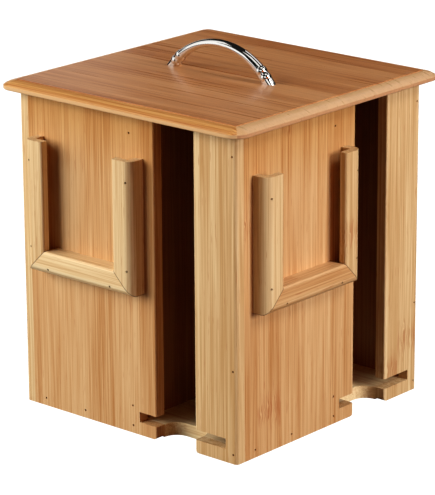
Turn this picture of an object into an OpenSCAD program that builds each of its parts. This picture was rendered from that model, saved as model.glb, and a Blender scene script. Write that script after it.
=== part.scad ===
// Tea bag organizer box in bamboo: four compartments round a pinwheel of dividers, a slot and
// a pull-out scoop on every side, a small display frame on every side and a lift-off lid.
// Millimetres. +Z is up and the origin is the middle of the underside.
// Everything on the walls is written once for the front wall, whose outer face looks along -Y,
// and turned by quarter turns: front, right (+X), back (+Y), left (-X).

/* [Body] */
// Side of the square body, over the outer faces
body_w = 162; // [150:1:180]
// Height of the walls
body_h = 188; // [180:1:210]
// Thickness of the wall boards and dividers
board_t = 6.5; // [6:0.5:8]
// Thickness of the base plate
base_t = 7.7; // [7:0.1:10]
// Rounding of the outer upright corners
corner_r = 2; // [1:0.5:3]

/* [Slots] */
// Distance from a wall's left corner to its upright slot
slot_from = 102.4; // [100:0.2:106]
// Width of the upright slot
slot_w = 29; // [24:0.5:30]
// Distance from a wall's left corner to the start of the slit above the base
slit_from = 89.4; // [89:0.2:92]
// Distance from a wall's left corner to the end of the slit
slit_to = 153.7; // [148:0.2:154]
// Height of the slit
slit_h = 6.1; // [5:0.1:7]
// Depth of the finger scoop behind the wall board
scoop_depth = 9; // [6:0.5:12]

/* [Display frames] */
// Distance from a wall's left corner to the frame
frame_from = 13.5; // [10:0.5:16]
// Height of the frame's underside above the floor
frame_z = 85; // [70:1:95]
// Width of the frame
frame_w = 81; // [78:1:84]
// Height of the frame
frame_h = 78; // [74:1:84]
// Width of a rail
rail_w = 13.7; // [12:0.1:15]
// Depth of a rail, out from the wall
rail_d = 11; // [10:0.5:13]
// Round-over on a rail's outer front edge
rail_round = 5; // [3:0.5:6]
// Depth of the pocket behind the side rails' lips
pocket_d = 6.5; // [6:0.5:8]
// Width of the part of a side rail that stands on the wall
rail_leg = 5; // [4.5:0.5:6]

/* [Lid] */
// Side of the square lid
lid_w = 180; // [178:1:200]
// Thickness of the lid
lid_t = 5.5; // [5:0.5:8]
// Corner rounding of the lid, seen from above
lid_corner_r = 9; // [8:0.5:12]
// Width of the moulded edge round the lid
lid_edge_w = 8; // [5:0.1:8.5]
// Height of the upright band at the foot of the moulded edge
lid_band_h = 2.3; // [2:0.1:3]
// Side of the blocks under the lid that keep it in place
block_w = 14; // [10:1:18]
// Height of those blocks
block_h = 5; // [4:0.5:5]

/* [Handle] */
// Half of the distance between the outer ends of the bow
bow_half = 40; // [34:1:46]
// Height of the bow above the lid
bow_h = 20; // [16:1:24]
// Thickness of the bow at its top
bow_t = 4; // [3.5:0.5:5]
// Length of one foot of the bow along the lid
bow_foot = 8; // [7.5:0.5:9]
// Width of the bow
bow_w = 6; // [6:0.5:9]

/* [Hidden] */
$fn = 64;

// Numbers of quarter turns from the front wall
FRONT = 0;
RIGHT = 1;
BACK = 2;
LEFT = 3;

// The body seen from above
half = body_w / 2;
inner = half - board_t;
slot_x0 = slot_from - half;
slot_x1 = slot_x0 + slot_w;
slit_x0 = slit_from - half;
slit_x1 = slit_to - half;
slit_top = base_t + slit_h;
arris_r = 1;
tab_r = 2.5;
scoop_r = scoop_depth;

// The dividers stop below the wall tops, under the lid's blocks
divider_gap = 6;
divider_top = body_h - divider_gap;

// The display frame
frame_x0 = frame_from - half;
frame_x1 = frame_x0 + frame_w;
rail_inner_r = 1.5;

// The lid
lid_half = lid_w / 2;
lid_top = body_h + lid_t;
lid_step = 0.4;
lid_foot_r = 0.8;
lid_curve_h = lid_t - lid_step - lid_band_h;
lid_curve_r = (pow(lid_edge_w, 2) + pow(lid_curve_h, 2)) / (2 * lid_curve_h);
block_gap = 1;

// The bow: an outer and an inner arc with their centres below the lid's top
function arc_r(half_span, rise) = (pow(half_span, 2) + pow(rise, 2)) / (2 * rise);
out_r = arc_r(bow_half, bow_h);
out_drop = out_r - bow_h;
in_half = bow_half - bow_foot;
in_h = bow_h - bow_t;
in_r = arc_r(in_half, in_h);
in_drop = in_r - in_h;
bow_round = 2.6;
bow_under_r = 1.8;
mid_r = (out_r + in_r) / 2;
mid_drop = (out_drop + in_drop) / 2;
collar_r = 3.4;
collar_end_r = 2.8;
collar_len = 4.2;
collar_steps = [3.9, 8.5];

// The two screws that hold the handle from under the lid
screw_x = bow_half - 6;
screw_d = 3;
screw_hole_d = 3.1;
screw_in = 4.5;
screw_head_d = 5.6;
screw_head_h = 2;

// Brads: thin nails whose heads are set just under the surface
brad_d = 1.2;
brad_hole_d = 1.3;
brad_set = 0.5;
corner_brad_len = 12;
wall_brad_len = 18;
frame_brad_len = 16;
// Each brad is [distance from the wall's left corner, height above the floor]
corner_brad_at = [for (z = [5.5, 54, 175.5]) [body_w - 2.8, z]];
divider_brad_at = [for (z = [16.6, 176]) [half + board_t / 2, z]];
base_brad_at = [for (u = [15.5, 47, 84.5]) [u, 4.6]];
// In the frame: distance from a side rail's outer edge, and from the frame's ends
side_brad_in = 3.4;
side_brad_z = [frame_z + 15, frame_z + frame_h - 12];
bottom_brad_in = 16.5;
bottom_brad_z = frame_z + 3.6;

past = 1;
far = 400;

bamboo_light = [0.85, 0.66, 0.42];
bamboo_mid = [0.80, 0.58, 0.35];
bamboo_dark = [0.68, 0.44, 0.27];
metal = [0.82, 0.82, 0.84];
nail_steel = [0.45, 0.38, 0.30];

module quarter(turns) {
    rotate([0, 0, 90 * turns]) children();
}

// A square rod along X that, taken away, leaves a rounding of radius r on an edge at the origin.
// The board lies at negative Y and negative Z of that edge.
module edge_cut(r, len) {
    rotate([90, 0, 90]) linear_extrude(len) difference() {
        translate([-r, -r]) square(r + past);
        translate([-r, -r]) circle(r);
    }
}

// A wall brad, or its hole when made longer at the head end
module brad(at, face_y, len, d, over) {
    translate([at[0] - half, face_y + brad_set - over, at[1]])
        rotate([-90, 0, 0]) cylinder(d = d, h = len + over);
}

module brad_set_of(list, face_y, len) {
    for (at = list) brad(at, face_y, len, brad_d, 0);
}

module brad_holes(list, face_y, len) {
    for (at = list) brad(at, face_y, len, brad_hole_d, brad_set + past);
}

module corner_holes() brad_holes(corner_brad_at, -half, corner_brad_len);
module divider_holes() brad_holes(divider_brad_at, -half, wall_brad_len);
module base_holes() brad_holes(base_brad_at, -half, wall_brad_len);

frame_brad_at = concat(
    [for (z = side_brad_z) [frame_from + side_brad_in, z]],
    [for (z = side_brad_z) [frame_from + frame_w - side_brad_in, z]],
    [for (u = [bottom_brad_in, frame_w - bottom_brad_in]) [frame_from + u, bottom_brad_z]]
);
module frame_holes() brad_holes(frame_brad_at, -half - rail_d, frame_brad_len);

// Rectangle from a to b whose corner at (b[0], a[1]) is rounded by r
module board_plan(a, b, r_left, r_right) {
    difference() {
        translate(a) square(b - a);
        translate([b[0], a[1]]) plan_corner(r_right);
        translate(a) mirror([1, 0]) plan_corner(r_left);
    }
}

// What is cut away to round a plan corner whose board lies at negative X and positive Y
module plan_corner(r) {
    if (r > 0) difference() {
        translate([-r, -past]) square([r + past, r + past]);
        translate([-r, r]) circle(r);
    }
}

// The slit above the base, cut from x0 to x1 through a front board
module slit(x0, x1) {
    translate([x0, -half - past, base_t]) cube([x1 - x0, board_t + 2 * past, slit_h]);
}

// Rounds the lower corner of a tab that ends at x; side is 1 where the tab lies left of x
module tab_corner(x, side) {
    translate([x, -half - past, 0]) mirror([side == 1 ? 0 : 1, 0, 0])
        rotate([-90, 0, 0]) linear_extrude(board_t + 2 * past) difference() {
            translate([-tab_r, -tab_r]) square(tab_r + past);
            translate([-tab_r, -tab_r]) circle(tab_r);
        }
}

// Wide wall board, from the left corner to the slot, with half of the slit and a tab below it
module wall_panel() {
    color(bamboo_mid) difference() {
        linear_extrude(body_h)
            board_plan([-inner, -half], [slot_x0, -inner], 0, arris_r);
        slit(slit_x0, slot_x0 + past);
        tab_corner(slot_x0, 1);
        divider_holes();
        base_holes();
        frame_holes();
        quarter(-1) corner_holes();
    }
}

// Corner strip, from the slot to the right corner, where it laps over the next wall's panel
module corner_strip() {
    color(bamboo_light) difference() {
        linear_extrude(body_h)
            board_plan([slot_x1, -half], [half, -inner], arris_r, corner_r);
        slit(slot_x1 - past, slit_x1);
        tab_corner(slot_x1, -1);
        corner_holes();
    }
}

// Divider from the wall's inside to the side of the next divider, on the base plate
module divider() {
    color(bamboo_mid) difference() {
        translate([0, -inner, base_t]) cube([board_t, inner, divider_top - base_t]);
        divider_holes();
    }
}

module scoop_plan() {
    for (x = [slot_x0 + scoop_r, slot_x1 - scoop_r]) translate([x, -inner]) circle(scoop_r);
    translate([slot_x0 + scoop_r, -inner - past])
        square([slot_w - 2 * scoop_r, scoop_r + past]);
    translate([slot_x0, -inner - scoop_r]) square([slot_w, scoop_r]);
}

module base_plate() {
    color(bamboo_light) difference() {
        linear_extrude(base_t) difference() {
            square(2 * inner, center = true);
            for (k = [FRONT:LEFT]) quarter(k) scoop_plan();
        }
        for (k = [FRONT:LEFT]) quarter(k) base_holes();
    }
}

// Section of a side rail: x from its outer side, y out from the wall, with the pocket behind
module side_rail_section() {
    difference() {
        square([rail_w, rail_d]);
        translate([rail_leg, -past]) square([rail_w, pocket_d + past]);
        translate([0, rail_d]) mirror([1, 0]) section_corner(rail_round);
        translate([rail_w, rail_d]) section_corner(rail_inner_r);
    }
}

// Section of the bottom rail: x up from its underside, y out from the wall
module bottom_rail_section() {
    difference() {
        square([rail_w, rail_d]);
        translate([0, rail_d]) mirror([1, 0]) section_corner(rail_round);
        translate([rail_w, rail_d]) section_corner(rail_inner_r);
    }
}

// What is cut away to round a section corner whose rail lies at negative X and negative Y
module section_corner(r) {
    difference() {
        translate([-r, -r]) square(r + past);
        translate([-r, -r]) circle(r);
    }
}

// Everything below the 45 degree mitre that rises from the left end of the frame
module below_left_mitre() {
    translate([frame_x0, -half - far / 2, frame_z]) rotate([0, -45, 0])
        translate([-far / 2, 0, -far]) cube(far);
}

module below_right_mitre() {
    translate([frame_x0 + frame_x1, 0, 0]) mirror([1, 0, 0]) below_left_mitre();
}

module left_rail() {
    color(bamboo_light) difference() {
        translate([frame_x0, -half, frame_z]) mirror([0, 1, 0])
            linear_extrude(frame_h) side_rail_section();
        below_left_mitre();
        frame_holes();
    }
}

module right_rail() {
    color(bamboo_light) difference() {
        translate([frame_x1, -half, frame_z]) mirror([1, 0, 0]) mirror([0, 1, 0])
            linear_extrude(frame_h) side_rail_section();
        below_right_mitre();
        frame_holes();
    }
}

module bottom_rail() {
    color(bamboo_light) difference() {
        intersection() {
            translate([frame_x0, -half, frame_z]) rotate([0, -90, 0])
                mirror([0, 1, 0]) mirror([0, 0, 1])
                    linear_extrude(frame_w) bottom_rail_section();
            below_left_mitre();
            below_right_mitre();
        }
        frame_holes();
    }
}

// Half section of the lid: x out from a point inset by lid_corner_r, y up from the underside
module lid_section(x0) {
    curve_x = lid_corner_r - lid_edge_w;
    translate([x0, 0]) square([curve_x - x0, lid_t]);
    intersection() {
        translate([curve_x, lid_t - lid_step - lid_curve_r]) circle(lid_curve_r, $fn = 180);
        difference() {
            translate([curve_x - past, 0]) square([lid_edge_w + past, lid_t - lid_step]);
            translate([lid_corner_r, 0]) mirror([0, 1]) section_corner(lid_foot_r);
        }
    }
}

module lid_board() {
    core = lid_half - lid_corner_r;
    color(bamboo_dark) translate([0, 0, body_h]) difference() {
        union() {
            for (k = [FRONT:LEFT]) quarter(k) {
                translate([core, core, 0]) rotate_extrude(angle = 90) lid_section(0);
                translate([core, core, 0]) rotate([90, 0, 0])
                    linear_extrude(2 * core) lid_section(0);
            }
            translate([-core, -core, 0]) cube([2 * core, 2 * core, lid_t]);
        }
        for (x = [-screw_x, screw_x]) translate([x, 0, -past])
            cylinder(d = screw_hole_d, h = lid_t + 2 * past);
    }
}

// Square block glued under the lid, just inside a corner of the body
module lid_block() {
    color(bamboo_mid)
        translate([-inner + block_gap, -inner + block_gap, body_h - block_h])
            cube([block_w, block_w, block_h]);
}

// Outer half of the bow: a ring about Y with a rounded outer edge
module bow_ring() {
    side = bow_w / 2 - bow_round;
    translate([0, 0, -out_drop]) rotate([90, 0, 0]) rotate_extrude($fn = 180) {
        translate([in_r / 2, -bow_w / 2]) square([out_r - bow_round - in_r / 2, bow_w]);
        for (y = [-side, side]) translate([out_r - bow_round, y]) circle(bow_round);
        translate([out_r - bow_round, -side]) square([bow_round, 2 * side]);
    }
}

// What is cut out of the ring under the bow, with flared edges that round the bow's underside
module bow_under() {
    edge = bow_w / 2 - bow_under_r;
    translate([0, 0, -in_drop]) rotate([90, 0, 0]) rotate_extrude($fn = 180) {
        translate([0, -bow_w]) square([in_r, 2 * bow_w]);
        for (s = [0, 1]) mirror([0, s]) difference() {
            translate([in_r - past, edge]) square([bow_under_r + past, bow_w]);
            translate([in_r + bow_under_r, edge]) circle(bow_under_r);
        }
    }
}

// Barrel-shaped collar round the bow, centred at the given length along it from the foot
module collar(step) {
    foot_angle = acos(mid_drop / mid_r);
    angle = foot_angle - step / mid_r * 180 / PI;
    barrel_r = (pow(collar_len / 2, 2) + pow(collar_r - collar_end_r, 2))
        / (2 * (collar_r - collar_end_r));
    translate([mid_r * sin(angle), 0, mid_r * cos(angle) - mid_drop])
        rotate([0, 90 + angle, 0]) rotate_extrude() intersection() {
            translate([0, -collar_len / 2]) square([collar_r, collar_len]);
            translate([collar_r - barrel_r, 0]) circle(barrel_r);
        }
}

module handle() {
    color(metal) translate([0, 0, lid_top]) difference() {
        intersection() {
            union() {
                difference() {
                    bow_ring();
                    bow_under();
                }
                for (s = [0, 1], step = collar_steps) mirror([s, 0, 0]) collar(step);
            }
            translate([-far / 2, -far / 2, 0]) cube(far);
        }
        for (x = [-screw_x, screw_x]) translate([x, 0, -past])
            cylinder(d = screw_hole_d, h = screw_in + past);
    }
}

module handle_screws() {
    color(metal) for (x = [-screw_x, screw_x]) translate([x, 0, body_h]) {
        cylinder(d = screw_d, h = lid_t + screw_in);
        translate([0, 0, -screw_head_h]) cylinder(d = screw_head_d, h = screw_head_h);
    }
}

module all_round(list, face_y, len) {
    color(nail_steel) for (k = [FRONT:LEFT]) quarter(k) brad_set_of(list, face_y, len);
}

module corner_brads() all_round(corner_brad_at, -half, corner_brad_len);
module divider_brads() all_round(divider_brad_at, -half, wall_brad_len);
module base_brads() all_round(base_brad_at, -half, wall_brad_len);
module frame_brads() all_round(frame_brad_at, -half - rail_d, frame_brad_len);

base_plate();
quarter(FRONT) wall_panel();  // front_panel
quarter(RIGHT) wall_panel();  // right_panel
quarter(BACK) wall_panel();  // back_panel
quarter(LEFT) wall_panel();  // left_panel
quarter(FRONT) corner_strip();  // front_strip
quarter(RIGHT) corner_strip();  // right_strip
quarter(BACK) corner_strip();  // back_strip
quarter(LEFT) corner_strip();  // left_strip
quarter(FRONT) divider();  // front_divider
quarter(RIGHT) divider();  // right_divider
quarter(BACK) divider();  // back_divider
quarter(LEFT) divider();  // left_divider
quarter(FRONT) left_rail();  // front_frame_left_rail
quarter(FRONT) right_rail();  // front_frame_right_rail
quarter(FRONT) bottom_rail();  // front_frame_bottom_rail
quarter(RIGHT) left_rail();  // right_frame_left_rail
quarter(RIGHT) right_rail();  // right_frame_right_rail
quarter(RIGHT) bottom_rail();  // right_frame_bottom_rail
quarter(BACK) left_rail();  // back_frame_left_rail
quarter(BACK) right_rail();  // back_frame_right_rail
quarter(BACK) bottom_rail();  // back_frame_bottom_rail
quarter(LEFT) left_rail();  // left_frame_left_rail
quarter(LEFT) right_rail();  // left_frame_right_rail
quarter(LEFT) bottom_rail();  // left_frame_bottom_rail
lid_board();
quarter(FRONT) lid_block();  // lid_block_front_left
quarter(RIGHT) lid_block();  // lid_block_front_right
quarter(BACK) lid_block();  // lid_block_back_right
quarter(LEFT) lid_block();  // lid_block_back_left
handle();
handle_screws();
corner_brads();
divider_brads();
base_brads();
frame_brads();
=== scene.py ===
# %% [markdown]
# # A bamboo tea bag box, dressed in Blender
# The solid parts of the box come from the CAD model. This lesson gives them what CAD doesn't:
# eased edges, bamboo grain in the right direction on every board, polished metal on the handle,
# and a small photo studio round it. Every length is in metres, front is -Y and up is +Z.
#
# A box could also be modelled again from scratch in Blender. Loading the CAD parts is better
# here, because the parts then fit each other and the lid can still be lifted.

import math

import bpy
from mathutils import Matrix, Vector


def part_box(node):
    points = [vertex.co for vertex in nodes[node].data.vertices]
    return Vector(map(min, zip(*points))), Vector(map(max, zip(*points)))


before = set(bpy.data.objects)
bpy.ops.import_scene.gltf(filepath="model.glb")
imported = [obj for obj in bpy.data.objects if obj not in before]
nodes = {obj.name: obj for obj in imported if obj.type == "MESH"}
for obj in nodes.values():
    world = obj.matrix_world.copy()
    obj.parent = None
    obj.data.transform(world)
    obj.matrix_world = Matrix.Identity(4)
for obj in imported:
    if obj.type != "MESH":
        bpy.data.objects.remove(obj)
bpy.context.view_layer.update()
print("parts loaded:", len(nodes))

# %% [markdown]
# ## Which parts are wood, and which way their grain runs
# The boards are flat pressed bamboo: strips about 20 mm wide, glued side by side, with the fibres
# along the board. On the walls, corner strips, dividers and the side rails of the display frames
# the fibres stand upright. On the lid and its blocks, the base and the bottom rails they lie flat.
# A lookup by name is enough to tell them apart, and it keeps the rule in one place.

# %% Sort the parts
METAL = [name for name in nodes if name.endswith("brads") or name.startswith("handle")]
WOOD = [name for name in nodes if name not in METAL]


def faces_x(name):
    """True for a board whose face looks along X, as the right and left walls do."""
    return name.startswith(("right", "left"))


def grain_axes(name):
    """The axes across the strips, along the fibres and through the board."""
    if name.startswith(("lid", "base")):
        return "Y", "X", "Z"
    face, side = ("X", "Y") if faces_x(name) else ("Y", "X")
    if "divider" in name:
        face, side = side, face
    if "bottom_rail" in name:
        return "Z", side, face
    return side, "Z", face


print("wooden parts:", len(WOOD), "metal parts:", len(METAL))
print("grain of the front panel:", grain_axes("front_panel"))

# %% [markdown]
# ## Easing the edges
# The maker sands every board lightly before the lacquer goes on, so no edge is knife sharp. The
# sanded edges catch a thin line of light, and a plain CAD edge never does. One way is to model each
# small rounding in CAD, which is heavy. A Bevel modifier does the same here and leaves the shape of
# the CAD mesh as it is, though the stored normals and sharp marks are dropped from the mesh first.
# The mesh comes in as triangles that aren't joined, so a Weld joins their corners and a planar
# Decimate removes the triangle lines before the Bevel.

# %% Ease the edges of the wooden parts
MM = 0.001
EASED = 0.35 * MM
SAME_SPOT = 0.002 * MM
FLAT_WITHIN = math.radians(0.4)
SHARP_FROM = math.radians(32)


def ease_edges(part):
    mesh = part.data
    for mark in ("custom_normal", "sharp_edge", "sharp_face"):
        if mark in mesh.attributes:
            mesh.attributes.remove(mesh.attributes[mark])
    weld = part.modifiers.new("join corners", "WELD")
    weld.merge_threshold = SAME_SPOT
    flat = part.modifiers.new("drop flat lines", "DECIMATE")
    flat.decimate_type = "DISSOLVE"
    flat.angle_limit = FLAT_WITHIN
    bevel = part.modifiers.new("sanded edge", "BEVEL")
    bevel.width = EASED
    bevel.segments = 2
    bevel.limit_method = "ANGLE"
    bevel.angle_limit = SHARP_FROM
    bevel.harden_normals = True
    bevel.use_clamp_overlap = True


for name in WOOD:
    ease_edges(nodes[name])
print("parts with eased edges:", len(WOOD))

# %% [markdown]
# ## Colours
# A colour picker gives 0 to 255 for red, green and blue, and Blender reckons with linear light.
# Typing linear values by hand is guesswork, so this helper turns the familiar ones into them.


# %% Colours as Blender wants them
def linear(red, green, blue):
    """A colour of 0 to 255 per channel as Blender's linear colour."""
    out = []
    for value in (red, green, blue):
        c = value / 255
        out.append(c / 12.92 if c <= 0.04045 else ((c + 0.055) / 1.055) ** 2.4)
    return (*out, 1.0)


print("a light tan in linear colour:", [round(c, 3) for c in linear(214, 181, 134)])

# %% [markdown]
# ## A short way to write material nodes
# A material is a graph of small nodes. Adding them by hand takes four lines for each, so a little
# class keeps the graph and joins the nodes. This first part of it adds a node, does a sum with
# one and makes a point from three numbers.


# %% A graph of nodes
class Graph:
    """The nodes of one material."""

    def __init__(self, name):
        self.material = bpy.data.materials.new(name)
        self.material.use_nodes = True
        self.tree = self.material.node_tree
        self.shader = self.tree.nodes["Principled BSDF"]

    def node(self, kind, **settings):
        made = self.tree.nodes.new(kind)
        for key, value in settings.items():
            setattr(made, key, value)
        return made

    def put(self, value, socket):
        """Join an output to a socket, or set the socket when the value is a number."""
        if isinstance(value, bpy.types.NodeSocket):
            self.tree.links.new(value, socket)
        else:
            socket.default_value = value

    def calc(self, operation, *values):
        made = self.node("ShaderNodeMath", operation=operation)
        for value, socket in zip(values, made.inputs):
            self.put(value, socket)
        return made.outputs[0]

    def point(self, x, y, z):
        made = self.node("ShaderNodeCombineXYZ")
        for value, socket in zip((x, y, z), made.inputs):
            self.put(value, socket)
        return made.outputs[0]


print("a graph can:", [name for name in vars(Graph) if name[0] != "_"])

# %% [markdown]
# ## What wood and metal need from the graph
# Both finishes need uneven places (noise), soft steps between two values, mixed colours and a
# small relief. They are kept apart from the plain graph, because the studio doesn't need them.


# %% A graph that paints
class Paint(Graph):
    """A graph with noise, soft steps, mixed colours and relief."""

    def noise(self, vector, detail, roughness=0.55):
        made = self.node("ShaderNodeTexNoise", noise_dimensions="3D")
        self.put(vector, made.inputs["Vector"])
        made.inputs["Scale"].default_value = 1.0
        made.inputs["Detail"].default_value = detail
        made.inputs["Roughness"].default_value = roughness
        return made.outputs["Fac"]

    def remap(self, value, low, high, to_low=0.0, to_high=1.0):
        """A soft step from to_low to to_high while the value goes from low to high."""
        made = self.node("ShaderNodeMapRange", interpolation_type="SMOOTHSTEP")
        for v, socket in zip((value, low, high, to_low, to_high), made.inputs):
            self.put(v, socket)
        return made.outputs[0]

    def mix(self, factor, a, b, blend="MIX"):
        made = self.node("ShaderNodeMix", data_type="RGBA", blend_type=blend)
        self.put(factor, made.inputs["Factor"])
        self.put(a, made.inputs["A"])
        self.put(b, made.inputs["B"])
        return made.outputs["Result"]

    def tint(self, share, colour, shade):
        """The colour multiplied by a shade, as far as the share says."""
        return self.mix(share, colour, self.mix(1.0, colour, shade, "MULTIPLY"))

    def ramp(self, value, stops):
        made = self.node("ShaderNodeValToRGB")
        self.put(value, made.inputs[0])
        band = made.color_ramp
        band.elements[0].position, band.elements[0].color = stops[0]
        band.elements[1].position, band.elements[1].color = stops[-1]
        for position, colour in stops[1:-1]:
            band.elements.new(position).color = colour
        return made.outputs[0]

    def relief(self, height, strength, distance):
        bump = self.node("ShaderNodeBump")
        bump.inputs["Strength"].default_value = strength
        bump.inputs["Distance"].default_value = distance
        self.put(height, bump.inputs["Height"])
        self.put(bump.outputs["Normal"], self.shader.inputs["Normal"])


print("painting adds:", [name for name in vars(Paint) if name[0] != "_"])

# %% [markdown]
# ## Bamboo: strips side by side
# Up close, bamboo is thousands of straight fibres in a paler pulp, and a board is made of narrow
# strips with a hair of glue between them. Each strip comes from another culm, so its tone and the
# height of its knuckles differ from its neighbours'.
#
# A photograph of bamboo could be wrapped round the boards, but it would stretch, repeat and stop
# at every corner. Here the wood is worked out in the space of the box, so it runs through the
# whole board as the real fibres do, and the ends of the boards show fibre ends by themselves.
# Each board starts at a place of its own in that wood, and a White Noise node throws one set of
# dice for each strip.

# %% Places in a board, and its strips
STRIP = 20 * MM
GLUE_LINE = 0.25 * MM
FIRST_PLACE = 1.0
NEXT_PLACE = (0.0137, 0.3171, 0.0713)
NEXT_DICE = 3.17


def board_places(g, axes, seed):
    """The point in the box, and the same point across, along and through this board."""
    split = g.node("ShaderNodeSeparateXYZ")
    g.put(g.node("ShaderNodeTexCoord").outputs["Object"], split.inputs[0])
    spot = split.outputs
    starts = [FIRST_PLACE + step * seed for step in NEXT_PLACE]
    return spot, [g.calc("ADD", spot[axis], start) for axis, start in zip(axes, starts)]


def glued_strips(g, across, seed):
    """Three dice from 0 to 1 for each strip, and the glue lines between the strips."""
    count = g.calc("DIVIDE", across, STRIP)
    chance = g.node("ShaderNodeTexWhiteNoise", noise_dimensions="1D")
    g.put(g.calc("ADD", g.calc("FLOOR", count), seed * NEXT_DICE), chance.inputs["W"])
    dice = g.node("ShaderNodeSeparateColor")
    g.put(chance.outputs["Color"], dice.inputs[0])
    from_middle = g.calc("ABSOLUTE", g.calc("SUBTRACT", g.calc("FRACT", count), 0.5))
    return (*dice.outputs, g.remap(from_middle, 0.5 - GLUE_LINE / STRIP, 0.5))


panel_low, panel_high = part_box("front_panel")
print("strips across the front panel:", round((panel_high[0] - panel_low[0]) / STRIP, 1))

# %% [markdown]
# ## Bamboo: knuckles
# Every few hand widths a culm has a knuckle, where the fibres weave into each other and the wood
# turns a redder brown. On a board it shows as a ragged patch of short wavy streaks, and more on
# some strips than on others. The distance to the nearest knuckle gives the patch, a noise makes
# its border ragged, and the same noise bends the fibres inside it.

# %% Knuckles
KNUCKLE_SPACING = 420 * MM
KNUCKLE_REACH = 13 * MM
KNUCKLE_CORE = 1 * MM
KNUCKLE_RAGGED = 22 * MM
KNUCKLE_BEND = 4.5 * MM
FAINTEST_KNUCKLE = 0.25
FAINT_BELOW, FULL_ABOVE = 0.1, 0.7
RIPPLES_ACROSS = 260
RIPPLES_ALONG = 90


def knuckles(g, across, along, deep, strip_along, own_knuckle):
    """How deep a point lies in a knuckle, from 0 to 1, and the place across, bent by it."""
    turn = g.calc("FRACT", g.calc("DIVIDE", strip_along, KNUCKLE_SPACING))
    away = g.calc("ABSOLUTE", g.calc("MULTIPLY", g.calc("SUBTRACT", turn, 0.5), KNUCKLE_SPACING))
    ripple_across = g.calc("MULTIPLY", across, RIPPLES_ACROSS)
    ripple_along = g.calc("MULTIPLY", along, RIPPLES_ALONG)
    ripple = g.calc("SUBTRACT", g.noise(g.point(ripple_across, ripple_along, deep), 1.0), 0.5)
    ragged = g.calc("MULTIPLY_ADD", ripple, KNUCKLE_RAGGED, away)
    near = g.remap(ragged, KNUCKLE_REACH, KNUCKLE_CORE)
    strength = g.remap(own_knuckle, FAINT_BELOW, FULL_ABOVE, FAINTEST_KNUCKLE, 1.0)
    near = g.calc("MULTIPLY", near, strength)
    bent = g.calc("MULTIPLY_ADD", g.calc("MULTIPLY", ripple, near), KNUCKLE_BEND, across)
    return near, bent


print("a knuckle every", round(KNUCKLE_SPACING / MM), "mm along a strip")

# %% [markdown]
# ## Bamboo: fibres
# The fibres are noise that is drawn out far longer along the board than across it. One layer
# gives the hair-thin streaks, a broader one their bundles, and a slow one the clouds of lighter
# and darker wood. Their sum goes through a colour ramp. Short dark flecks are the ends of single
# fibres that the planer cut open.

# %% Fibres and their tone
PER_METRE = {"fine": (1500, 14), "broad": (480, 6), "cloud": (60, 6), "fleck": (1500, 75)}
DETAIL = {"fine": 2.0, "broad": 2.0, "cloud": 1.0, "fleck": 1.0}
THROUGH_TO_ACROSS = 0.8
STRENGTH = {"fine": 1.6, "broad": 1.05, "cloud": 0.5, "strip": 0.34}
STREAK_AT, BODY_AT, PALE_AT = 0.12, 0.48, 0.85


def fibres(g, bent, strip_along, deep, kind):
    """One layer of fibres: noise with so many cells per metre across and along."""
    times_across, times_along = PER_METRE[kind]
    at = g.point(
        g.calc("MULTIPLY", bent, times_across),
        g.calc("MULTIPLY", strip_along, times_along),
        g.calc("MULTIPLY", deep, times_across * THROUGH_TO_ACROSS),
    )
    return g.noise(at, DETAIL[kind])


def fibre_tone(g, tones, layers):
    """The ramp's colour for the sum of the layers, each as strong as STRENGTH says."""
    tone = 0.5
    for kind, strength in STRENGTH.items():
        tone = g.calc("MULTIPLY_ADD", g.calc("SUBTRACT", layers[kind], 0.5), strength, tone)
    stops = [(STREAK_AT, tones["streak"]), (BODY_AT, tones["body"]), (PALE_AT, tones["pale"])]
    return g.ramp(tone, stops)


for kind, (times_across, times_along) in PER_METRE.items():
    print(kind, "fibres are", round(times_across / times_along), "times longer than wide")

# %% [markdown]
# ## Painted shade inside and under the lid
# The faces inside the box are painted darker, as painted shade for the little light that reaches
# into the box. The wall boards are painted darker and more orange towards the lid, as painted shade
# under its overhang. A second material for the inner faces would need them selected one by one. Two
# masks made from the point's place do it for all boards, and they are worked out from the parts'
# own boxes.

# %% Painted shade for the inside and under the lid
INSIDE_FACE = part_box("base_plate")[1][0] + 0.08 * MM
# Painted shade for the faces inside the box.
INSIDE_PAINTED_SHADE = (0.50, 0.36, 0.26, 1.0)
WALL_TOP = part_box("front_panel")[1][2]
WALL_TOP_FADE = 48 * MM
# Painted shade, darker and more orange, on the wall tops under the lid.
WALL_TOP_PAINTED_SHADE = (0.86, 0.74, 0.52, 1.0)


def paint_shade_inside(g, colour, spot):
    """Painted shade: darkens what lies nearer to the middle than the outer half of the walls."""
    out = g.calc("MAXIMUM", g.calc("ABSOLUTE", spot["X"]), g.calc("ABSOLUTE", spot["Y"]))
    return g.tint(g.calc("LESS_THAN", out, INSIDE_FACE), colour, INSIDE_PAINTED_SHADE)


def paint_shade_under_lid(g, colour, spot):
    # Painted shade under the lid's overhang: darker and more orange towards the wall tops.
    top = g.remap(spot["Z"], WALL_TOP - WALL_TOP_FADE, WALL_TOP)
    return g.tint(top, colour, WALL_TOP_PAINTED_SHADE)


print("inner faces lie within", round(INSIDE_FACE / MM, 2), "mm of the middle")

# %% [markdown]
# ## Glue in the mitres
# The display frames are mitred at their lower corners, and each mitre shows a thin dark line of
# glue. The CAD joint is closed and shows no line. A gap in it would be wrong, so the line is
# drawn: it lies where a point is as far in from the rail's end as it is up from the rail's foot.

# %% Mitre lines
MITRE_GLUE = linear(88, 50, 22)
MITRE_SHARE = 0.75
MITRE_FULL = 0.15 * MM
MITRE_GONE = 0.5 * MM
MITRE_PAST = 0.2 * MM


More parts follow.
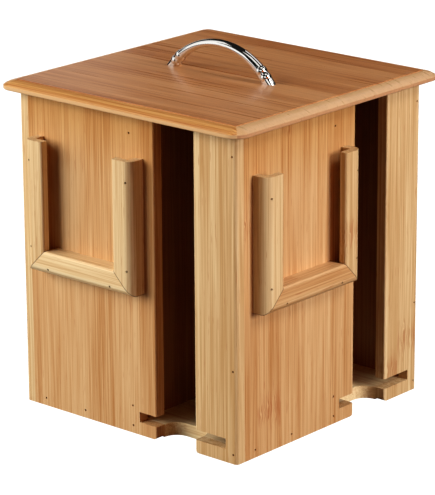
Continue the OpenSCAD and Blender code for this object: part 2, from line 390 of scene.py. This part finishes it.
def draw_mitres(g, colour, spot, name):
    """Draws the glue lines of the two mitres of the display frame that this rail belongs to."""
    axis = "Y" if faces_x(name) else "X"
    low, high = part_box(name.split("_frame_")[0] + "_frame_bottom_rail")
    rail_width = high[2] - low[2] + MITRE_PAST
    up_from_foot = g.calc("SUBTRACT", spot["Z"], low[2])
    on_mitre = g.calc("LESS_THAN", up_from_foot, rail_width)
    for corner, way in ((low, 1), (high, -1)):
        end = corner["XY".index(axis)]
        in_from_end = g.calc("MULTIPLY", g.calc("SUBTRACT", spot[axis], end), way)
        gap = g.calc("ABSOLUTE", g.calc("SUBTRACT", in_from_end, up_from_foot))
        line = g.remap(gap, MITRE_GONE, MITRE_FULL, 0.0, MITRE_SHARE)
        colour = g.mix(g.calc("MULTIPLY", line, on_mitre), colour, MITRE_GLUE)
    return colour


print("a mitre line fades out", round(MITRE_GONE / MM, 2), "mm from the joint")

# %% [markdown]
# ## The lid's moulded edge
# The lid's edge is cut across its board. Its two ends show pale, smooth end grain. Its front and
# back are painted lighter than the lid's top, and their upright lower band paler still: this is
# painted light, where these faces turn towards the lamps. Strips of veneer could carry the end
# grain, but the real lid has none, so masks paint it all: one finds the ends, one the front and
# back, and one the lower band.

# %% The lid's edge
LID_EDGE_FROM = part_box("lid_board")[1][0] - 8 * MM
LID_BAND_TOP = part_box("lid_board")[0][2] + 2.3 * MM
LID_BAND_BLUR = 0.3 * MM
LID_END = linear(218, 182, 136)
LID_END_LOW = linear(196, 151, 113)
LID_END_SHARE = 0.72
# Painted light: the front and back edge made lighter, and its lower band paler still.
LID_SIDE_PAINTED_LIGHT = (1.22, 1.42, 1.2, 1.0)
LID_SIDE_PAINTED_LIT_BAND = linear(224, 187, 138)
LID_SIDE_SHARE = 0.85


def draw_lid_edge_with_painted_light(g, colour, spot):
    """Paints end grain on the lid's two ends, and painted light on its front and back edge."""
    out_x = g.calc("ABSOLUTE", spot["X"])
    out_y = g.calc("ABSOLUTE", spot["Y"])
    on_end = g.calc("GREATER_THAN", out_x, LID_EDGE_FROM)
    on_end = g.calc("MULTIPLY", on_end, g.calc("GREATER_THAN", out_x, out_y))
    on_side = g.calc("GREATER_THAN", out_y, LID_EDGE_FROM)
    on_side = g.calc("MULTIPLY", on_side, g.calc("SUBTRACT", 1.0, on_end))
    low = g.remap(spot["Z"], LID_BAND_TOP + LID_BAND_BLUR, LID_BAND_TOP - LID_BAND_BLUR)
    end_grain = g.mix(LID_END_SHARE, colour, g.mix(low, LID_END, LID_END_LOW))
    colour = g.mix(on_end, colour, end_grain)
    # Painted light on the front and back: the edge made lighter, and its upright lower band paler
    # still, where it faces the lamps.
    layers = g.mix(low, g.mix(1.0, colour, LID_SIDE_PAINTED_LIGHT, "MULTIPLY"), LID_SIDE_PAINTED_LIT_BAND)
    return g.mix(g.calc("MULTIPLY", on_side, LID_SIDE_SHARE), colour, layers)


print("the moulded edge starts", round(LID_EDGE_FROM / MM, 1), "mm from the middle of the lid")

# %% [markdown]
# ## The colour of a board
# Now the recipe comes together. The fibres give the tone, and three things are laid over it: the
# brown of the knuckles, which shows most where the fibres are dark, the brown of the flecks, and
# the glue between the strips. Then each board gets what its place in the box asks for: painted
# shade inside and under the lid, glue in the mitres, and end grain and painted light on the lid's
# edge.

# %% The whole colour
STRIP_SHIFT = 0.83
KNUCKLE_CLEAR, KNUCKLE_FULL = 1.10, 0.90
KNUCKLE_SHARE = 0.55
FLECK_CLEAR, FLECK_FULL = 0.66, 0.76
FLECK_SHARE = 0.5
GLUE_SHARE = 0.35


def board_colour(g, name, seed, tones):
    """The colour, the bundles of fibres, and how far the fibres stand out."""
    spot, (across, along, deep) = board_places(g, grain_axes(name), seed)
    own_tone, own_height, own_knuckle, glue = glued_strips(g, across, seed)
    strip_along = g.calc("MULTIPLY_ADD", own_height, STRIP_SHIFT, along)
    near, bent = knuckles(g, across, along, deep, strip_along, own_knuckle)
    layers = {kind: fibres(g, bent, strip_along, deep, kind) for kind in PER_METRE}
    layers["strip"] = own_tone
    standing_out = g.calc("ADD", layers["fine"], layers["broad"])

    colour = fibre_tone(g, tones, layers)
    knot = g.calc("MULTIPLY", near, g.remap(standing_out, KNUCKLE_CLEAR, KNUCKLE_FULL))
    flecks = g.remap(layers["fleck"], FLECK_CLEAR, FLECK_FULL)
    colour = g.mix(g.calc("MULTIPLY", knot, KNUCKLE_SHARE), colour, tones["knuckle"])
    colour = g.mix(g.calc("MULTIPLY", flecks, FLECK_SHARE), colour, tones["knuckle"])
    colour = g.mix(g.calc("MULTIPLY", glue, GLUE_SHARE), colour, tones["streak"])

    # Painted shade inside the box and on the wall tops under the lid, glue in the mitres, and end
    # grain with painted light on the lid's edge.
    if name not in ("lid_board", "base_plate"):
        colour = paint_shade_inside(g, colour, spot)
    if "panel" in name:
        colour = paint_shade_under_lid(g, colour, spot)
    if "_frame_" in name:
        colour = draw_mitres(g, colour, spot, name)
    if name == "lid_board":
        colour = draw_lid_edge_with_painted_light(g, colour, spot)
    return colour, layers["broad"], standing_out


print("strips are shifted along by up to", round(STRIP_SHIFT / MM), "mm")

# %% [markdown]
# ## Satin lacquer
# The lacquer is satin: a thin coat over a fairly rough base, glossier on the lid, which is
# polished most. A flat roughness would look like plastic. So the bundles of fibres change it a
# little, and the fibres stand out a hair from the pulp, by the same noise that colours them.

# %% Lacquer, and the whole material
BOARD_LACQUER = {"rough": 0.42, "coat": 0.06}
LID_LACQUER = {"rough": 0.30, "coat": 0.2}
ROUGH_VARIES = 0.16
COAT_ROUGH = 0.16
FIBRE_RELIEF = 0.22
FIBRE_HEIGHT = 0.12 * MM


def bamboo(name, seed, tones):
    """One bamboo for one board; tones are its streak, body, pale and knuckle colours."""
    g = Paint("bamboo_" + name)
    colour, bundles, standing_out = board_colour(g, name, seed, tones)
    g.put(colour, g.shader.inputs["Base Color"])
    lacquer = LID_LACQUER if name == "lid_board" else BOARD_LACQUER
    uneven = g.calc("SUBTRACT", bundles, 0.5)
    rough = g.calc("MULTIPLY_ADD", uneven, ROUGH_VARIES, lacquer["rough"])
    g.put(rough, g.shader.inputs["Roughness"])
    g.shader.inputs["Coat Weight"].default_value = lacquer["coat"]
    g.shader.inputs["Coat Roughness"].default_value = COAT_ROUGH
    g.relief(standing_out, FIBRE_RELIEF, FIBRE_HEIGHT)
    return g.material


print("lacquer of the boards:", BOARD_LACQUER, "and of the lid:", LID_LACQUER)

# %% [markdown]
# ## Four tones of bamboo
# The boards of one box come from different culms. The corner strips and the frames' side rails are
# pale, the base and the front and back frames' bottom rails are the palest, the lid is the reddest,
# and the wide panels and all other parts are in between. One bamboo for all would look cast from
# one block.

# %% Tones
PANEL = {
    "streak": linear(184, 130, 76),
    "body": linear(205, 160, 110),
    "pale": linear(219, 182, 134),
    "knuckle": linear(172, 98, 52),
}
PALE = {
    "streak": linear(193, 152, 100),
    "body": linear(214, 181, 134),
    "pale": linear(229, 204, 158),
    "knuckle": linear(176, 112, 66),
}
PALEST = {
    "streak": linear(212, 176, 126),
    "body": linear(231, 203, 155),
    "pale": linear(242, 221, 178),
    "knuckle": linear(192, 136, 88),
}
LID = {
    "streak": linear(158, 94, 48),
    "body": linear(188, 130, 82),
    "pale": linear(205, 152, 104),
    "knuckle": linear(150, 84, 46),
}
print("colours in each tone:", list(PANEL))

# %% [markdown]
# ## Painting the boards
# A rule by name gives each board its tone. Every board also gets its own start number, from its
# place in the sorted list of names, so no two show the same streaks and a second run of the
# script shows the same ones again.


# %% Paint the wooden parts
def tones_of(name):
    if name == "lid_board":
        return LID
    if name in ("base_plate", "front_frame_bottom_rail", "back_frame_bottom_rail"):
        return PALEST
    if name in ("right_frame_bottom_rail", "left_frame_bottom_rail"):
        return PANEL
    if "strip" in name or "rail" in name:
        return PALE
    return PANEL


for number, name in enumerate(sorted(WOOD)):
    board = nodes[name]
    board.data.materials.clear()
    board.data.materials.append(bamboo(name, number, tones_of(name)))
print("boards painted:", len(WOOD))

# %% [markdown]
# ## Metal
# The handle is cast and chrome plated, the brads are dull steel wire set just below the surface,
# and the two screws under the lid are zinc plated. A metal has nearly no colour of its own, so
# the look comes from what it mirrors. Only its roughness varies, and a very weak bump from the
# same noise stands for the marks of polishing and handling.

# %% The metal parts
MARK_DETAIL = 4.0
MARK_ROUGHNESS = 0.6
MARK_FROM, MARK_FULL = 0.3, 0.75
MARK_RELIEF = 0.02
MARK_HEIGHT = 0.05 * MM


def metal(name, colour, rough, wear, marks_per_metre):
    """A metal whose roughness goes from rough to rough + wear in its marks."""
    g = Paint(name)
    scaled = g.node("ShaderNodeVectorMath", operation="SCALE")
    g.put(g.node("ShaderNodeTexCoord").outputs["Object"], scaled.inputs[0])
    scaled.inputs["Scale"].default_value = marks_per_metre
    marks = g.noise(scaled.outputs[0], MARK_DETAIL, MARK_ROUGHNESS)
    worn = g.remap(marks, MARK_FROM, MARK_FULL, rough, rough + wear)
    g.put(worn, g.shader.inputs["Roughness"])
    g.shader.inputs["Base Color"].default_value = colour
    g.shader.inputs["Metallic"].default_value = 1.0
    g.relief(marks, MARK_RELIEF, MARK_HEIGHT)
    return g.material


chrome = metal("handle_plating", linear(232, 230, 226), 0.04, 0.03, 300)
zinc = metal("screw_zinc", linear(190, 192, 196), 0.28, 0.12, 900)
wire = metal("brad_wire", linear(138, 106, 74), 0.5, 0.2, 1500)
FINISH = {"handle": chrome, "handle_screws": zinc}
for name in METAL:
    part = nodes[name]
    part.data.materials.clear()
    part.data.materials.append(FINISH.get(name, wire))
print("metal parts finished:", METAL)

# %% [markdown]
# ## The studio: white paper to stand on
# The box stands on white paper, which has to look white to the camera. But white paper would
# also throw much light up on the box and into its shadows. The Light Path node tells the two
# apart: a ray straight from the camera sees mostly a white glow, and all other light meets grey
# paper. The tenth of the paper that the camera does see carries the box's faint shadow.

# %% Floor
FLOOR_ACROSS = 12
PAPER = linear(78, 76, 74)
PAPER_ROUGH = 0.9
PAPER_GLOW = 1.12
GLOW_SHARE = 0.9


def studio_floor():
    bpy.ops.mesh.primitive_plane_add(size=FLOOR_ACROSS)
    floor = bpy.context.object
    floor.name = "studio_floor"
    g = Graph("white_paper")
    g.shader.inputs["Base Color"].default_value = PAPER
    g.shader.inputs["Roughness"].default_value = PAPER_ROUGH
    glow = g.node("ShaderNodeEmission")
    glow.inputs["Color"].default_value = linear(255, 255, 255)
    glow.inputs["Strength"].default_value = PAPER_GLOW
    path = g.node("ShaderNodeLightPath")
    blend = g.node("ShaderNodeMixShader")
    g.put(g.calc("MULTIPLY", path.outputs["Is Camera Ray"], GLOW_SHARE), blend.inputs[0])
    g.put(g.shader.outputs[0], blend.inputs[1])
    g.put(glow.outputs[0], blend.inputs[2])
    g.put(blend.outputs[0], g.tree.nodes["Material Output"].inputs["Surface"])
    floor.data.materials.append(g.material)


studio_floor()
print("floor across, in metres:", FLOOR_ACROSS)

# %% [markdown]
# ## The studio: the surroundings
# The paper goes up behind the box, so the surroundings look white too. They are made in the same
# way as the floor: white for the camera and nearly black for all other light, because an even
# white from everywhere would leave the box without shadows.

# %% Surroundings
ROOM_LIGHT = 0.015
BACKDROP_GLOW = 1.06


def studio_world():
    world = bpy.data.worlds.new("studio")
    world.use_nodes = True
    tree = world.node_tree
    dim = tree.nodes["Background"]
    dim.inputs["Color"].default_value = linear(255, 250, 244)
    dim.inputs["Strength"].default_value = ROOM_LIGHT
    white = tree.nodes.new("ShaderNodeBackground")
    white.inputs["Color"].default_value = (1, 1, 1, 1)
    white.inputs["Strength"].default_value = BACKDROP_GLOW
    path = tree.nodes.new("ShaderNodeLightPath")
    blend = tree.nodes.new("ShaderNodeMixShader")
    tree.links.new(path.outputs["Is Camera Ray"], blend.inputs[0])
    tree.links.new(dim.outputs[0], blend.inputs[1])
    tree.links.new(white.outputs[0], blend.inputs[2])
    tree.links.new(blend.outputs[0], tree.nodes["World Output"].inputs["Surface"])
    bpy.context.scene.world = world


studio_world()
print("surroundings:", bpy.context.scene.world.name)

# %% [markdown]
# ## The studio: lights
# One big soft light stands far to the left of the camera and lights the front. A low one and a
# high one stand to the right, a little behind the box, and light the right wall; the high one
# lets the lid throw a soft shadow on it. Rail sides that look away from both stay dark, and only
# a faint reddish fill reaches them, as from a wooden table. A last light behind the box is for
# the back and left walls. The left and the rear light are the strongest, and they don't show in
# reflections, where they would burn out.

# %% Lights
DAYLIGHT = (1.0, 0.98, 0.95)
REDDISH = (1.0, 0.24, 0.05)
LIGHTS_AIM = (0, 0, 0.1)


def turned_to(place, target):
    """The rotation that turns an object's Z axis along the line from target to place."""
    return (Vector(place) - Vector(target)).to_track_quat("Z", "Y").to_euler()


def soft_light(name, place, width, height, power, colour=DAYLIGHT, mirrored=True):
    lamp = bpy.data.lights.new(name, "AREA")
    lamp.shape = "RECTANGLE"
    lamp.size = width
    lamp.size_y = height
    lamp.energy = power
    lamp.color = colour
    holder = bpy.data.objects.new(name, lamp)
    holder.location = place
    holder.rotation_euler = turned_to(place, LIGHTS_AIM)
    holder.visible_glossy = mirrored
    bpy.context.scene.collection.objects.link(holder)
    return holder


LIGHTS = [
    soft_light("left_light", (-1.32, -1.47, 0.85), 2.1, 1.5, 61, mirrored=False),
    soft_light("right_light", (1.94, 0.42, 0.72), 0.65, 0.8, 27),
    soft_light("high_light", (1.55, 0.30, 1.75), 0.7, 0.7, 15),
    soft_light("warm_fill", (1.7, -0.75, 0.6), 1.0, 1.2, 3.2, REDDISH),
    soft_light("rear_light", (-1.3, 1.6, 0.42), 1.4, 0.8, 46, mirrored=False),
]
print("lights:", [light.name for light in LIGHTS])

# %% [markdown]
# ## The studio: cards for the reflections
# Polished metal shows its surroundings and little else, and the lacquered lid mirrors what stands
# low behind it. A photographer sets white cards round the table for this, with dark gaps between
# them that draw black lines along the handle. These cards do the same. They show only in
# reflections, so they neither light the box nor stand in the picture.

# %% Cards
CARDS_AIM = (0, 0, 0.2)


def mirror_card(name, place, width, height, glow):
    bpy.ops.mesh.primitive_plane_add(size=1, location=place)
    card = bpy.context.object
    card.name = name
    card.scale = (width, height, 1)
    card.rotation_euler = turned_to(CARDS_AIM, place)
    card.visible_camera = False
    card.visible_diffuse = False
    card.visible_shadow = False
    g = Graph(name)
    light = g.node("ShaderNodeEmission")
    light.inputs["Strength"].default_value = glow
    g.put(light.outputs[0], g.tree.nodes["Material Output"].inputs["Surface"])
    card.data.materials.append(g.material)
    return card


CARDS = [
    mirror_card("front_card", (0.5, -1.2, 0.95), 1.0, 0.5, 1.0),
    mirror_card("low_left_card", (-1.30, -1.35, 0.78), 1.6, 1.25, 1.0),
    mirror_card("left_card", (-1.35, -0.45, 1.25), 0.9, 1.5, 0.9),
    mirror_card("rear_card", (-1.95, 1.15, 0.52), 1.2, 0.5, 0.58),
    mirror_card("back_card", (0.25, 1.35, 1.40), 1.7, 0.42, 0.9),
    mirror_card("ceiling_card", (0.25, -0.1, 1.8), 0.9, 0.8, 0.9),
]
print("cards:", [card.name for card in CARDS])

# %% [markdown]
# ## The camera
# The place of the camera was worked out from the straight edges of the box in the photograph: it
# looks at the near right corner from 41 degrees round and 17 degrees above, from about 1.6 m,
# through a long lens. A long lens keeps the upright edges nearly parallel, as they are there. It
# leans a third of a degree, as a camera on a table stand does.

# %% Camera
AROUND = math.radians(41.18)
ABOVE = math.radians(17.29)
LEAN = math.radians(-0.35)
AWAY = 1.620
AIM_HEIGHT = 0.090
AIM_RIGHT = -2.45 * MM
AIM_UP = 0.19 * MM
SENSOR = 36
PICTURE_HEIGHT = 495
LENS_IN_PIXELS = 2794.1
SEEN_FROM, SEEN_TO = 0.05, 40

back = Vector(
    (
        math.sin(AROUND) * math.cos(ABOVE),
        -math.cos(AROUND) * math.cos(ABOVE),
        math.sin(ABOVE),
    )
)
right = Vector((math.cos(AROUND), math.sin(AROUND), 0))
up = back.cross(right)
aim = Vector((0, 0, AIM_HEIGHT)) + AIM_RIGHT * right + AIM_UP * up
right, up = (
    math.cos(LEAN) * right + math.sin(LEAN) * up,
    math.cos(LEAN) * up - math.sin(LEAN) * right,
)
camera = bpy.data.objects.new("camera", bpy.data.cameras.new("camera"))
camera.data.lens = LENS_IN_PIXELS / PICTURE_HEIGHT * SENSOR
camera.data.sensor_width = SENSOR
camera.data.clip_start = SEEN_FROM
camera.data.clip_end = SEEN_TO
turn = Matrix((right, up, back)).transposed()
camera.matrix_world = Matrix.Translation(aim + AWAY * back) @ turn.to_4x4()
bpy.context.scene.collection.objects.link(camera)
bpy.context.scene.camera = camera
print("camera at", [round(c, 3) for c in camera.matrix_world.translation])

# %% [markdown]
# ## How the picture is developed
# The photograph has white highlights and deep, warm shadows. The Standard view keeps the whites
# white, and a slightly stronger contrast gives the shadows their depth.

# %% View
view = bpy.context.scene.view_settings
view.view_transform = "Standard"
view.look = "Medium High Contrast"
print("view:", view.view_transform, "/", view.look)

# %% [markdown]
# ## Sizes
# Eased edges must not make the box bigger or smaller.
